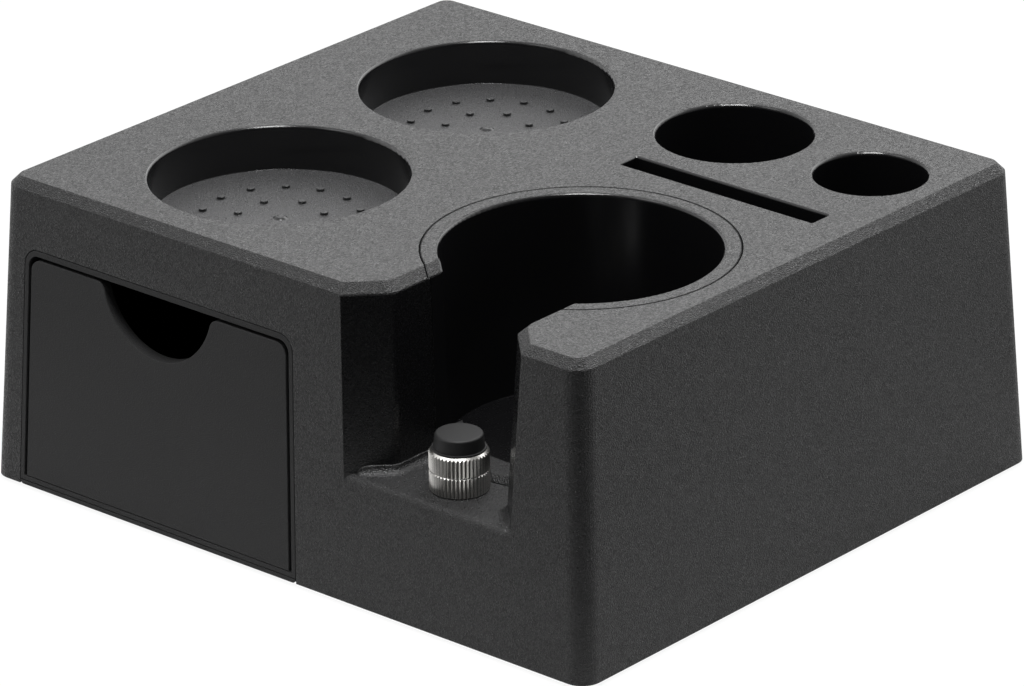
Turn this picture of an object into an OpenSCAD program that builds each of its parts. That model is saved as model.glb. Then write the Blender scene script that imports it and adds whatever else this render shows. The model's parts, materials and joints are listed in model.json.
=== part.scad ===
// Espresso accessory organizer: a moulded block with a drawer, a lift-out cup for a portafilter,
// two shallow wells, a slot and two deep holes. Millimetres, +Z up, +X to the right along the front,
// +Y to the back. The origin is the middle of the footprint, on the surface that the feet stand on.

/* [Housing] */
// Width of the shell at its foot
body_w = 214; // [208:1:236]
// Depth of the shell at its foot
body_d = 189.5; // [186:0.5:210]
// Height of the shell from its foot to its top
body_h = 88; // [86:1:100]
// How far each side leans in between its foot and its shoulder
side_lean = 4.4; // [2:0.1:5.5]
// Chamfer round the top
edge_chamfer = 2.5; // [1.5:0.1:3]
// Radius of the upright corners
corner_r = 5.6; // [4:0.1:9]
// Thickness of the outer walls
wall = 2.6; // [2.2:0.1:3]
// Thickness of the top
deck = 2.8; // [2.4:0.1:3.6]
// Thickness of the walls and floors of wells, holes and pockets
inner_wall = 2.2; // [1.8:0.1:2.4]
// Thickness of the stiffening ribs
rib_t = 1.6; // [1.2:0.1:2]

/* [Feet] */
// Diameter of a rubber foot
foot_d = 14; // [10:1:18]
// Height of a rubber foot, which lifts the shell off the counter
foot_stand = 1; // [0.8:0.1:2.5]
// Distance from the shell's sides to the middle of a foot
foot_inset = 20; // [16:1:26]

/* [Wells] */
// Diameter of the two round wells
well_d = 71; // [60:0.5:74]
// Depth of the wells
well_depth = 12.9; // [8:0.1:13]
// Distance between the middles of the wells
well_pitch = 85; // [84:0.5:88]
// Rounding of the rims of wells and holes
rim_r = 1; // [0.5:0.1:1.5]
// Diameter of the raised pips on the well floors
pip_d = 2.2; // [1.5:0.1:3]
// Height of the pips
pip_h = 0.8; // [0.4:0.1:0.9]
// Radius of the outer ring of pips
pip_ring_r = 22; // [18:0.5:26]
// Radius of the inner ring of pips
pip_inner_r = 12; // [8:0.5:15]
// Number of pips on the outer ring, twice as many as on the inner ring
pip_count = 14; // [6:2:18]
// Diameter of the round mark in the middle of each well
gate_d = 4; // [3:0.1:5]

/* [Tool holes] */
// Diameter of the larger hole
hole_large_d = 43.4; // [36:0.1:44]
// Diameter of the smaller hole
hole_small_d = 31.1; // [24:0.1:34]
// Depth of both holes
hole_depth = 62; // [40:1:66]
// Distance between the middles of the holes
hole_pitch = 47.2; // [46:0.1:48]
// Distance from the shell's right side to the middle of the smaller hole
hole_side = 28.6; // [28:0.1:30]
// Distance from the shell's back to the middles of the holes
hole_back = 36.2; // [35:0.1:37]

/* [Tool slot] */
// Length of the slot
slot_l = 67.5; // [50:0.5:68]
// Width of the slot
slot_w = 8; // [6:0.1:9]
// Depth of the slot
slot_depth = 44; // [30:1:52]
// Distance from the row of holes to the middle of the slot
slot_ahead = 33.8; // [33:0.1:35]
// Chamfer on the slot's edge
slot_chamfer = 0.4; // [0.3:0.1:0.9]

/* [Cup] */
// Inner diameter of the cup at its rim
cup_bore_d = 75.2; // [70:0.1:77]
// Outer diameter of the flange that lies flush in the top
flange_d = 84.6; // [84:0.1:86]
// Thickness of the flange
flange_t = 2.6; // [2:0.1:3]
// Outer diameter of the cup below its flange
cup_body_d = 83; // [82.6:0.1:83.2]
// Thickness of the cup's wall and floor
cup_wall = 2.2; // [1.8:0.1:2.4]
// How much the cup's bore narrows, in radius, from its rim to its floor
cup_draft = 0.8; // [0.2:0.1:1]
// Depth of the pocket that the cup stands in
pocket_depth = 58.5; // [57:0.5:62]
// Distance from the shell's right side to the flange
cup_side = 12.95; // [12.5:0.05:14]
// Depth of the ledge in front of the flange, measured from the shell's foot
ledge_run = 22.05; // [21.8:0.05:24]
// Visible seam round the flange
flange_seam = 0.4; // [0.2:0.05:0.5]
// Clearance between the cup's body and its pocket
cup_gap = 0.2; // [0.1:0.05:0.3]
// How far the cup's sill stands above the ledge
sill_rise = 1.6; // [1:0.1:2.4]
// How far the sill's front stands back from the cup's body, to clear the rest
sill_set = 0.4; // [0.2:0.1:0.6]
// Distance from the cup's middle to the back of the sill
sill_back = 31.8; // [31:0.1:33]

/* [Handle channel] */
// Width of the channel at its shoulder
channel_w = 42.2; // [40:0.1:44]
// How much each wall of the channel leans in between shoulder and ledge
channel_lean = 2.2; // [1:0.1:2.5]
// Size of the bevels at the channel's mouth
mouth_bevel = 10; // [8:0.5:11]
// Rounding between bevel and channel wall
mouth_r = 3.5; // [2:0.1:4]
// Depth of the ledge below the top
ledge_depth = 52.2; // [51:0.1:54]
// Thickness of the ledge
ledge_t = 3; // [2.4:0.1:3.6]
// Rounding of the ledge's front edge
ledge_r = 2; // [1:0.1:2.5]

/* [Drawer bay] */
// Width of the front wall between the sleeve and the channel's mouth, at the shell's foot
pillar_w = 14.45; // [14.2:0.05:18]
// Distance from the top down to the sleeve
bay_head = 18.8; // [18.4:0.1:26]
// How much each side of the sleeve leans in over its height
bay_lean = 2.25; // [1:0.05:3]
// Rounding of the sleeve's top corners
bay_r = 4.8; // [3.5:0.1:6]
// Distance from the shell's left side to the sleeve
bay_side = 10.9; // [10.7:0.1:11.2]
// Distance from the sleeve's end to the shell's back
sleeve_back = 19.5; // [18:0.5:30]
// Thickness of the sleeve's sides and floor
sleeve_wall = 1.3; // [1.1:0.1:1.6]
// Thickness of the sleeve's top
sleeve_top = 1.6; // [1.4:0.1:2]
// Seam between the sleeve and the shell, and between the sleeve and the plate
sleeve_seam = 0.25; // [0.1:0.05:0.3]

/* [Drawer] */
// Clearance at each side of the drawer
drawer_gap = 1.1; // [0.6:0.1:1.4]
// Clearance over the drawer's front
drawer_top_gap = 1; // [0.6:0.1:1.2]
// Clearance under the drawer
glide_gap = 0.25; // [0.1:0.05:0.3]
// Thickness of the drawer's front
front_t = 3; // [2.4:0.1:4]
// Thickness of the drawer's other walls and floor
drawer_wall = 2; // [1.6:0.1:2.6]
// How far the tray's walls stay below the drawer's front
tray_drop = 4; // [3.5:0.1:6]
// Space behind the closed drawer
drawer_back_gap = 1.5; // [1:0.1:3]
// Rounding of the tray's inside corners
tray_r = 6; // [3:0.5:8]
// Draft of the tray's inside, at each side
tray_draft = 0.8; // [0.4:0.1:1.2]
// Distance from the shell's front to the ribs that stop the drawer
drawer_hold = 35.05; // [30:0.05:60]
// Radius of the finger notch
notch_r = 20; // [16:0.5:22]
// Height of the notch's middle above the drawer's front edge
notch_rise = 2.9; // [1:0.1:4]
// Rounding of the notch's shoulders
shoulder_r = 3; // [2:0.1:4]
// Distance from the side of the drawer's bay to a stop rib
stop_inset = 17.15; // [13.15:0.5:23.15]
// Width of the stop ribs and lugs
stop_w = 8; // [5:0.5:10]
// Thickness of the stop ribs and lugs
stop_t = 2; // [1.5:0.1:3]
// How far a lug reaches up behind its rib
stop_catch = 2.2; // [1.5:0.1:2.4]

/* [Base plate] */
// Thickness of the plate
plate_t = 1.15; // [1:0.05:1.5]
// Clearance between the plate and the shell's walls
plate_gap = 0.25; // [0.15:0.05:0.4]
// Height of the plate's stiffening ribs
plate_rib_h = 3; // [2:0.1:4]
// Rounding of the plate's and sleeve's lower front corners
plate_r = 1.1; // [0.6:0.1:1.1]

/* [Height rest] */
// Diameter over the knurls
knurl_d = 16.1; // [14:0.1:16.4]
// Number of knurls round the screw head and the lock nut
knurl_count = 46; // [36:2:50]
// Depth of the knurls
knurl_depth = 0.45; // [0.3:0.05:0.5]
// Height of the lock nut
nut_h = 5.7; // [4:0.1:6]
// Height of the screw's head
head_h = 5.6; // [4:0.1:6]
// Chamfer on the ends of the knurls
knurl_chamfer = 0.4; // [0.3:0.05:0.6]
// Chamfer round the top of the screw's head
head_chamfer = 0.8; // [0.5:0.1:1]
// Diameter of the screw's thread
thread_d = 6; // [5:0.1:6]
// How far the screw reaches below the ledge
shank_reach = 17.2; // [15:0.1:18]
// How far the rest rises
rest_rise = 8; // [4:1:8]
// Diameter of the rubber cap at its foot
cap_d = 13.7; // [12:0.1:14]
// Diameter of the rubber cap at its top
cap_top_d = 12.9; // [11:0.1:13]
// Height of the rubber cap
cap_h = 4.3; // [3.5:0.1:5]
// Rounding of the cap's edge
cap_r = 0.7; // [0.4:0.1:1]
// Height and overhang of the lip round the cap's foot
cap_lip = 0.4; // [0.2:0.05:0.5]
// Diameter of the spigot that the cap sits on
spigot_d = 8; // [6:0.1:9]
// Height of the spigot
spigot_h = 2.4; // [1.8:0.1:2.8]
// Outer diameter of the threaded insert
insert_d = 8; // [7.6:0.1:8.4]
// Length of the threaded insert
insert_l = 9; // [7:0.1:9]
// Clearance between stacked or turning pieces of the rest
rest_gap = 0.1; // [0.05:0.01:0.15]
// Distance between the knurls and the cup's sill
rest_clear = 0.2; // [0.2:0.1:1]

/* [Screws] */
// Diameter of a screw's shank
screw_d = 3; // [2.6:0.1:3]
// Length of a screw's shank
screw_l = 9; // [7:0.5:10]
// Diameter of a screw's head
screw_head_d = 5.6; // [5:0.1:5.8]
// Height of a screw's head
screw_head_h = 1.8; // [1.4:0.1:2]
// Diameter of the bosses that the screws bite into
boss_d = 6.4; // [6:0.1:6.6]
// Distance of a base screw's head from the plate's underside
head_sink = 0.3; // [0.1:0.05:0.5]

/* [Hidden] */

$fn = 96;
over = 1;                       // overrun of every cut
fit = 0.02;                     // clearance of pieces that are pressed or screwed together
arc_steps = 8;
bevel_share = sqrt(2) - 1;      // how far an offset 45-degree corner moves along its wall

// Widths and heights that follow from the others
cup_x = body_w / 2 - cup_side - flange_d / 2;
bay_w = cup_x - channel_w / 2 - mouth_bevel - pillar_w + body_w / 2 - bay_side;
bay_h = body_h - bay_head;
stop_x = bay_w / 2 - stop_inset;
ledge_h = body_h - ledge_depth;
sleeve_l = body_d - sleeve_back;

// Heights
foot_z = foot_stand;
top_z = foot_z + body_h;
shoulder_z = top_z - edge_chamfer;
deck_z = top_z - deck;
ledge_z = foot_z + ledge_h;
pocket_z = top_z - pocket_depth;
bay_top_z = foot_z + bay_h;
sleeve_z = foot_z + plate_t + sleeve_seam;
drawer_z = sleeve_z + sleeve_wall + glide_gap;
drawer_top_z = bay_top_z - sleeve_top - drawer_top_gap;
tray_top_z = drawer_top_z - tray_drop;
nut_z = ledge_z + rest_gap;
head_z = nut_z + nut_h + rest_gap;
cap_z = head_z + head_h + rest_gap;

// Places on the plan
bay_x = -body_w / 2 + bay_side + bay_w / 2;
cup_y = -body_d / 2 + ledge_run + flange_d / 2;
hole_small_x = body_w / 2 - hole_side;
hole_large_x = hole_small_x - hole_pitch;
hole_y = body_d / 2 - hole_back;
slot_x = (hole_small_x + hole_large_x) / 2;
slot_y = hole_y - slot_ahead;
rest_y = cup_y - cup_body_d / 2 + sill_set - rest_clear - knurl_d / 2;
sleeve_back_y = -body_d / 2 + sleeve_l;
drawer_back_y = sleeve_back_y - sleeve_wall - drawer_back_gap;
stop_rib_y = -body_d / 2 + drawer_hold;

// Bosses: at the corners, beside the drawer bay and beside the cup
boss_x = body_w / 2 - side_lean - wall;
boss_y = body_d / 2 - side_lean - wall - boss_d / 2;
mid_x = (bay_x + bay_w / 2 + cup_x - channel_w / 2 - mouth_bevel) / 2;
mid_y = cup_y + flange_d / 2 - boss_d / 2;
base_screw_places = [[-boss_x, -boss_y], [-boss_x, boss_y], [boss_x, -boss_y], [boss_x, boss_y],
    [mid_x, -boss_y], [mid_x, boss_y], [mid_x, mid_y], [boss_x, mid_y]];
plate_boss_h = screw_head_h + head_sink + plate_t;
boss_foot_z = foot_z + plate_boss_h;

// Ears at the back of the sleeve, and the bosses above them
ear_d = boss_d + inner_wall;
ear_t = inner_wall;
ear_z = bay_top_z - ear_d;
ear_y = sleeve_back_y + ear_d / 2;
ear_places = [[bay_x - stop_x, ear_y], [bay_x + stop_x, ear_y]];

// Half the sleeve's width at height z
function bay_half(z) = bay_w / 2 - bay_lean * (z - foot_z) / bay_h;

// Y of the front face at height z, from foot to shoulder
function front_y(z) = -body_d / 2 + side_lean * (z - foot_z) / (shoulder_z - foot_z);

function unit(v) = v / norm(v);

// Points of an arc of radius r that rounds the corner b between its neighbours a and c
function arc_corner(a, b, c, r) = r == 0 ? [b] :
    let (u = unit(a - b), v = unit(c - b), half = acos(u * v) / 2,
        middle = b + unit(u + v) * r / sin(half),
        p = b + u * r / tan(half) - middle, q = b + v * r / tan(half) - middle,
        start = atan2(p.y, p.x), sweep = (atan2(q.y, q.x) - start + 540) % 360 - 180)
    [for (i = [0:arc_steps]) let (t = start + sweep * i / arc_steps) middle + r * [cos(t), sin(t)]];

// A closed outline with its own radius at each corner
function rounded_outline(corners, radii) = let (n = len(corners))
    [for (i = [0:n - 1])
        each arc_corner(corners[(i + n - 1) % n], corners[i], corners[(i + 1) % n], radii[i])];

function rounded_rect(w, d, r) =
    rounded_outline([[w, -d] / 2, [w, d] / 2, [-w, d] / 2, [-w, -d] / 2], [r, r, r, r]);

// Front view of the drawer bay: sides lean in, top corners rounded
function bay_outline(inset, low, high, r, low_r) =
    rounded_outline([[bay_half(low) - inset, low], [bay_half(high) - inset, high],
        [inset - bay_half(high), high], [inset - bay_half(low), low]], [low_r, r, r, low_r]);

// Plan of the handle channel, grown outwards by grow, with its corner at y_in, seen from the cup
function channel_plan(half, grow, y_in, y_out) =
    let (x = half + grow, y = y_in + grow * bevel_share)
    rounded_outline([[x, over], [-x, over], [-x, y], [y_out - y - x, y_out],
        [x + y - y_out, y_out], [x, y]], [0, 0, mouth_r + grow, 0, 0, mouth_r + grow]);

// The channel's section at height z: its walls lean in below the shoulder
function channel_section(z, grow) =
    let (below = min(z, shoulder_z),
        half = channel_w / 2 - channel_lean * (shoulder_z - below) / (shoulder_z - ledge_z),
        corner = front_y(below) + mouth_bevel - cup_y)
    channel_plan(half, grow, corner, corner - mouth_bevel - over);

// A solid through outlines with equal numbers of points, one at each height
module loft(heights, outlines) {
    n = len(outlines[0]);
    last = len(heights) - 1;
    polyhedron(
        points = [for (k = [0:last]) for (p = outlines[k]) [p.x, p.y, heights[k]]],
        faces = [[for (i = [0:n - 1]) i], [for (i = [n - 1:-1:0]) last * n + i],
            for (k = [0:last - 1]) for (i = [0:n - 1])
                [k * n + i, (k + 1) * n + i, (k + 1) * n + (i + 1) % n, k * n + (i + 1) % n]]);
}

// Extrudes a front view from y_from back to y_to
module along_y(y_from, y_to) {
    translate([0, y_to, 0]) rotate([90, 0, 0]) linear_extrude(y_to - y_from) children();
}

// Everything behind the leaning front face, moved back by inset
module behind_front(inset = 0) {
    low = foot_z - over;
    translate([-body_w, inset, 0]) rotate([90, 0, 90]) linear_extrude(2 * body_w)
        polygon([[front_y(low), low], [body_d, low], [body_d, top_z], [front_y(top_z), top_z]]);
}

// Rounds the rim of a bore of diameter d that opens at z = 0
module rim_cut(d, r) {
    rotate_extrude() difference() {
        translate([d / 2 - over, -r]) square([r + over, r + over]);
        translate([d / 2 + r, -r]) circle(r);
    }
}

// A round recess in the top, with a rounded rim
module top_bore(d, depth) {
    translate([0, 0, top_z - depth]) cylinder(d = d, h = depth + over);
    translate([0, 0, top_z]) rim_cut(d, rim_r);
}

// What the shell keeps round a recess of the top
module top_cup(d, depth) {
    translate([0, 0, top_z - depth - inner_wall])
        cylinder(d = d + 2 * inner_wall, h = depth + inner_wall);
}

module shell_outside() {
    loft([foot_z, shoulder_z, top_z],
        [rounded_rect(body_w, body_d, corner_r),
        rounded_rect(body_w - 2 * side_lean, body_d - 2 * side_lean, corner_r),
        rounded_rect(body_w - 2 * side_lean - 2 * edge_chamfer,
            body_d - 2 * side_lean - 2 * edge_chamfer, corner_r - edge_chamfer)]);
}

module shell_inside() {
    w = body_w - 2 * wall;
    d = body_d - 2 * wall;
    r = corner_r - wall;
    loft([foot_z - over, foot_z, deck_z],
        [rounded_rect(w, d, r), rounded_rect(w, d, r),
        rounded_rect(w - 2 * side_lean, d - 2 * side_lean, r)]);
}

module at_wells() {
    for (side = [-1, 1]) translate([bay_x, side * well_pitch / 2, 0]) children();
}

// Raised pips in two rings, with a domed mark in the middle
module well_pips() {
    floor_z = top_z - well_depth;
    dome_r = (gate_d * gate_d / 4 + pip_h * pip_h) / (2 * pip_h);
    at_wells() {
        translate([0, 0, floor_z]) intersection() {
            translate([0, 0, pip_h - dome_r]) sphere(dome_r);
            translate([0, 0, -inner_wall / 2]) cylinder(d = 2 * gate_d, h = inner_wall);
        }
        pip_ring(pip_ring_r, pip_count);
        pip_ring(pip_inner_r, pip_count / 2);
    }
}

module pip_ring(r, count) {
    sunk = inner_wall / 2;
    for (i = [0:count - 1]) rotate([0, 0, 360 * i / count])
        translate([r, 0, top_z - well_depth - sunk]) cylinder(d = pip_d, h = pip_h + sunk);
}

module slot_cut() {
    translate([slot_x, slot_y, 0])
        loft([top_z - slot_depth, top_z - slot_chamfer, top_z + over],
            [rounded_rect(slot_l - 3 * slot_chamfer, slot_w - 3 * slot_chamfer, slot_chamfer),
            rounded_rect(slot_l - 2 * slot_chamfer, slot_w - 2 * slot_chamfer, slot_chamfer),
            rounded_rect(slot_l + 2 * over, slot_w + 2 * over, slot_chamfer + over)]);
}

module slot_cup() {
    h = slot_depth + inner_wall;
    translate([slot_x - slot_l / 2 - inner_wall, slot_y - slot_w / 2 - inner_wall, top_z - h])
        cube([slot_l + 2 * inner_wall, slot_w + 2 * inner_wall, h]);
}

// The open channel for the handle, with the top's chamfer along its edges
module channel_cut(floor_z) {
    low_z = ledge_z - ledge_r - over;
    intersection() {
        translate([cup_x, cup_y, 0])
            loft([low_z, shoulder_z, top_z + over], [channel_section(low_z, 0),
                channel_section(shoulder_z, 0), channel_section(top_z, edge_chamfer + over)]);
        union() {
            above(floor_z);
            ledge_edge();
        }
    }
}

// What lies outside the ledge's rounded front edge
module ledge_edge() {
    corner = [front_y(ledge_z), ledge_z];
    below = [front_y(foot_z), foot_z];
    behind = [0, ledge_z];
    arc = arc_corner(below, corner, behind, ledge_r);
    translate([-body_w, 0, 0]) rotate([90, 0, 90]) linear_extrude(2 * body_w)
        polygon([each arc, arc[arc_steps] + [0, over], [-body_d, ledge_z + over],
            [-body_d, arc[0].y]]);
}

// What the shell keeps round the channel
module channel_cup() {
    low_z = ledge_z - ledge_t;
    high_z = top_z + over;
    intersection() {
        translate([cup_x, cup_y, 0])
            loft([low_z - over, high_z], [channel_section(low_z - over, inner_wall),
                channel_section(high_z, inner_wall)]);
        above(low_z);
    }
}

module above(z) {
    translate([-body_w, -body_d, z]) cube([2 * body_w, 2 * body_d, body_h]);
}

module pocket_cut() {
    translate([cup_x, cup_y, 0]) {
        translate([0, 0, pocket_z]) cylinder(d = cup_body_d + 2 * cup_gap, h = pocket_depth + over);
        translate([0, 0, top_z - flange_t])
            cylinder(d = flange_d + 2 * flange_seam, h = flange_t + over);
    }
}

module pocket_cup() {
    translate([cup_x, cup_y, 0]) {
        translate([0, 0, pocket_z - inner_wall])
            cylinder(d = cup_body_d + 2 * cup_gap + 2 * inner_wall, h = pocket_depth + inner_wall);
        translate([0, 0, top_z - flange_t - inner_wall])
            cylinder(d = flange_d + 2 * flange_seam + 2 * inner_wall, h = flange_t + inner_wall);
    }
}

// Ribs from the wells' walls down to the sleeve, and webs that tie cups and bosses to the shell
module ribs() {
    seat_z = bay_top_z + sleeve_seam;
    for (side = [-1, 1])
        translate([bay_x + side * stop_x - rib_t / 2, -body_d / 2, seat_z])
            cube([rib_t, body_d, top_z - seat_z]);
    web_z = ledge_z - ledge_t;
    web_h = top_z - web_z;
    translate([cup_x + cup_bore_d / 2, cup_y - rib_t / 2, web_z])
        cube([body_w / 2, rib_t, web_h]);
    translate([cup_x - rib_t / 2, cup_y + cup_bore_d / 2, web_z])
        cube([rib_t, slot_y - cup_y - cup_bore_d / 2, web_h]);
    for (x = [hole_large_x, hole_small_x])
        translate([x - rib_t / 2, slot_y, web_z]) cube([rib_t, body_d / 2, web_h]);
    translate([hole_small_x, hole_y - rib_t / 2, web_z]) cube([body_w / 2, rib_t, web_h]);
    for (x = [-boss_x, boss_x], y = [-boss_y, boss_y])
        translate([x - rib_t / 2, min(y, y * 2), boss_foot_z + boss_d])
            cube([rib_t, body_d / 2, top_z - boss_foot_z - boss_d]);
}

module bosses() {
    for (p = base_screw_places)
        translate([p.x, p.y, boss_foot_z]) cylinder(d = boss_d, h = top_z - boss_foot_z);
    for (p = ear_places)
        translate([p.x, p.y, ear_z]) cylinder(d = boss_d, h = top_z - ear_z);
    boss_h = shank_reach + over;
    translate([cup_x, rest_y, ledge_z - boss_h])
        cylinder(d = insert_d + 2 * inner_wall, h = boss_h);
}

module boss_holes() {
    hole_l = screw_l + over;
    for (p = base_screw_places)
        translate([p.x, p.y, boss_foot_z - over]) cylinder(d = screw_d + 2 * fit, h = hole_l);
    for (p = ear_places)
        translate([p.x, p.y, ear_z - over]) cylinder(d = screw_d + 2 * fit, h = hole_l);
    translate([cup_x, rest_y, ledge_z - insert_l])
        cylinder(d = insert_d + 2 * fit, h = insert_l + over);
    translate([cup_x, rest_y, 0]) cylinder(d = (thread_d + insert_d) / 2, h = ledge_z);
}

module housing() color("#2e2e30") {
    difference() {
        shell_outside();
        difference() {
            shell_inside();
            at_wells() top_cup(well_d, well_depth);
            translate([hole_large_x, hole_y, 0]) top_cup(hole_large_d, hole_depth);
            translate([hole_small_x, hole_y, 0]) top_cup(hole_small_d, hole_depth);
            slot_cup();
            pocket_cup();
            channel_cup();
            ribs();
            bosses();
        }
        at_wells() top_bore(well_d, well_depth);
        translate([hole_large_x, hole_y, 0]) top_bore(hole_large_d, hole_depth);
        translate([hole_small_x, hole_y, 0]) top_bore(hole_small_d, hole_depth);
        slot_cut();
        pocket_cut();
        channel_cut(ledge_z);
        bay_opening();
        boss_holes();
    }
    well_pips();
}

// The opening in the front wall, down to the foot, and a clear way for the sleeve behind it
module bay_opening() {
    translate([bay_x, 0, 0]) along_y(-body_d / 2 - over, sleeve_back_y + sleeve_seam)
        polygon(bay_outline(-sleeve_seam, foot_z - over, bay_top_z + sleeve_seam,
            bay_r + sleeve_seam, 0));
}

module portafilter_liner() color("#29292b") {
    bore_r = cup_bore_d / 2;
    floor_r = bore_r - cup_draft;
    body_r = cup_body_d / 2;
    floor_z = pocket_z + cup_wall;
    end_x = channel_w / 2 + edge_chamfer;
    sill_h = ledge_z + 2 * sill_rise - pocket_z;
    sill_r = body_r - sill_set;
    sill_turn = asin((channel_w / 2 - channel_lean) / body_r);
    difference() {
        union() {
            translate([cup_x, cup_y, 0]) rotate_extrude() difference() {
                union() {
                    polygon([[0, pocket_z], [floor_r + cup_wall, pocket_z],
                        [bore_r + cup_wall, top_z], [0, top_z]]);
                    translate([0, top_z - flange_t]) square([flange_d / 2, flange_t]);
                }
                polygon([[0, floor_z], [floor_r, floor_z], [bore_r, top_z - rim_r],
                    [bore_r, top_z + over], [0, top_z + over]]);
                difference() {
                    translate([bore_r - over, top_z - rim_r]) square([rim_r + over, rim_r + over]);
                    translate([bore_r + rim_r, top_z - rim_r]) circle(rim_r);
                }
            }
            // Upright flanges that carry the wall out to the housing at the channel
            translate([cup_x, cup_y, pocket_z]) intersection() {
                difference() {
                    cylinder(r = body_r, h = pocket_depth);
                    translate([0, 0, -over])
                        cylinder(r = floor_r + cup_wall / 2, h = pocket_depth + 2 * over);
                }
                translate([-end_x, -2 * body_r, 0]) cube([2 * end_x, 2 * body_r, pocket_depth]);
            }
            // The sill at the front of the floor
            translate([cup_x, cup_y, pocket_z]) intersection() {
                difference() {
                    cylinder(r = body_r, h = sill_h);
                    translate([0, 0, -over]) cylinder(r = sill_back, h = sill_h + 2 * over);
                }
                translate([-end_x, -2 * body_r, 0]) cube([2 * end_x, 2 * body_r, sill_h]);
            }
        }
        channel_cut(ledge_z + sill_rise);
        // The sill's front is set back, and bevelled above the ledge
        translate([cup_x, cup_y, 0]) rotate([0, 0, -90 - sill_turn])
            rotate_extrude(angle = 2 * sill_turn)
                polygon([[body_r + over, pocket_z - over], [body_r + over, ledge_z + 2 * sill_rise],
                    [sill_r - 2 * sill_rise, ledge_z + 2 * sill_rise], [sill_r, ledge_z],
                    [sill_r, pocket_z - over]]);
    }
}

module drawer_sleeve() color("#2b2b2d") {
    inner_top_z = bay_top_z - sleeve_top;
    difference() {
        union() {
            intersection() {
                behind_front();
                translate([bay_x, 0, 0]) along_y(-body_d, sleeve_back_y)
                    polygon(bay_outline(0, sleeve_z, bay_top_z, bay_r, 0));
            }
            for (p = ear_places) ear(p);
        }
        translate([bay_x, 0, 0]) along_y(-body_d, sleeve_back_y - sleeve_wall)
            polygon(bay_outline(sleeve_wall, sleeve_z + sleeve_wall, inner_top_z,
                bay_r - sleeve_wall, 0));
    }
    // Ribs that stop the drawer's lugs
    for (side = [-1, 1])
        translate([bay_x + side * stop_x - stop_w / 2, stop_rib_y - stop_t, tray_top_z + glide_gap * 2])
            cube([stop_w, stop_t, inner_top_z - tray_top_z]);
}

// An ear behind the sleeve, screwed up into its boss
module ear(p) {
    translate([0, 0, ear_z - ear_t]) difference() {
        union() {
            translate([p.x, p.y, 0]) cylinder(d = ear_d, h = ear_t);
            translate([p.x - ear_d / 2, sleeve_back_y - fit, 0]) cube([ear_d, ear_d / 2, ear_t]);
        }
        translate([p.x, p.y, -over]) cylinder(d = screw_d + 2 * fit, h = ear_t + 2 * over);
    }
}

// Front view of the drawer
module drawer_face() {
    inset = sleeve_wall + drawer_gap;
    notch_z = drawer_top_z + notch_rise;
    round_z = drawer_top_z - shoulder_r;
    reach = notch_r + shoulder_r;
    round_x = sqrt(reach * reach - (notch_z - round_z) * (notch_z - round_z));
    touch = [round_x, round_z - notch_z] * notch_r / reach;
    difference() {
        polygon(bay_outline(inset, drawer_z, drawer_top_z, bay_r - sleeve_wall, 0));
        translate([0, notch_z]) circle(notch_r);
        for (side = [-1, 1]) difference() {
            polygon([[0, drawer_top_z + over], [side * round_x, drawer_top_z + over],
                [side * round_x, round_z], [side * touch.x, notch_z + touch.y],
                [0, notch_z + touch.y]]);
            translate([side * round_x, round_z]) circle(shoulder_r);
        }
    }
}

module drawer() color("#2d2d2f") {
    inset = sleeve_wall + drawer_gap;
    tray_front_y = front_y(tray_top_z) + front_t;
    tray_w = 2 * (bay_half(drawer_top_z) - inset);
    hollow_w = tray_w - 2 * drawer_wall;
    hollow_d = drawer_back_y - drawer_wall - tray_front_y;
    // The flush front
    intersection() {
        translate([bay_x, 0, 0]) along_y(-body_d, tray_front_y) drawer_face();
        difference() {
            behind_front();
            behind_front(front_t);
        }
    }
    // The tray
    difference() {
        intersection() {
            behind_front(front_t / 2);
            translate([bay_x - tray_w / 2, -body_d, drawer_z])
                cube([tray_w, body_d + drawer_back_y, tray_top_z - drawer_z]);
        }
        translate([bay_x, tray_front_y + hollow_d / 2, 0])
            loft([drawer_z + drawer_wall, tray_top_z + over],
                [rounded_rect(hollow_w - 2 * tray_draft, hollow_d - 2 * tray_draft, tray_r),
                rounded_rect(hollow_w, hollow_d, tray_r)]);
        translate([bay_x, 0, 0]) along_y(-body_d, tray_front_y + tray_r)
            translate([0, drawer_top_z + notch_rise]) circle(notch_r);
    }
    // Lugs on the back wall that meet the sleeve's ribs
    for (side = [-1, 1])
        translate([bay_x + side * stop_x - stop_w / 2, drawer_back_y - stop_t, tray_top_z - stop_t])
            cube([stop_w, stop_t, stop_t + glide_gap * 2 + stop_catch]);
}

module base_plate() color("#262628") {
    w = body_w - 2 * wall - 2 * plate_gap;
    d = body_d - 2 * wall - 2 * plate_gap;
    difference() {
        union() {
            translate([0, 0, foot_z]) linear_extrude(plate_t)
                polygon(rounded_rect(w, d, corner_r - wall));
            // The tongue that closes the front under the sleeve
            intersection() {
                behind_front();
                translate([bay_x, 0, 0]) along_y(-body_d, -body_d / 2 + 2 * wall)
                    polygon(bay_outline(0, foot_z, foot_z + 2 * plate_t, 0, plate_r));
                translate([-body_w / 2, -body_d, foot_z]) cube([body_w, body_d, plate_t]);
            }
            for (p = base_screw_places)
                translate([p.x, p.y, foot_z])
                    cylinder(d = screw_head_d + 2 * plate_t, h = plate_boss_h);
            plate_ribs();
        }
        for (p = base_screw_places) translate([p.x, p.y, foot_z]) {
            translate([0, 0, -over]) cylinder(d = screw_d + 2 * fit, h = plate_boss_h + 2 * over);
            translate([0, 0, -over])
                cylinder(d = screw_head_d + 2 * fit, h = screw_head_h + head_sink + over);
        }
    }
}

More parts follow.
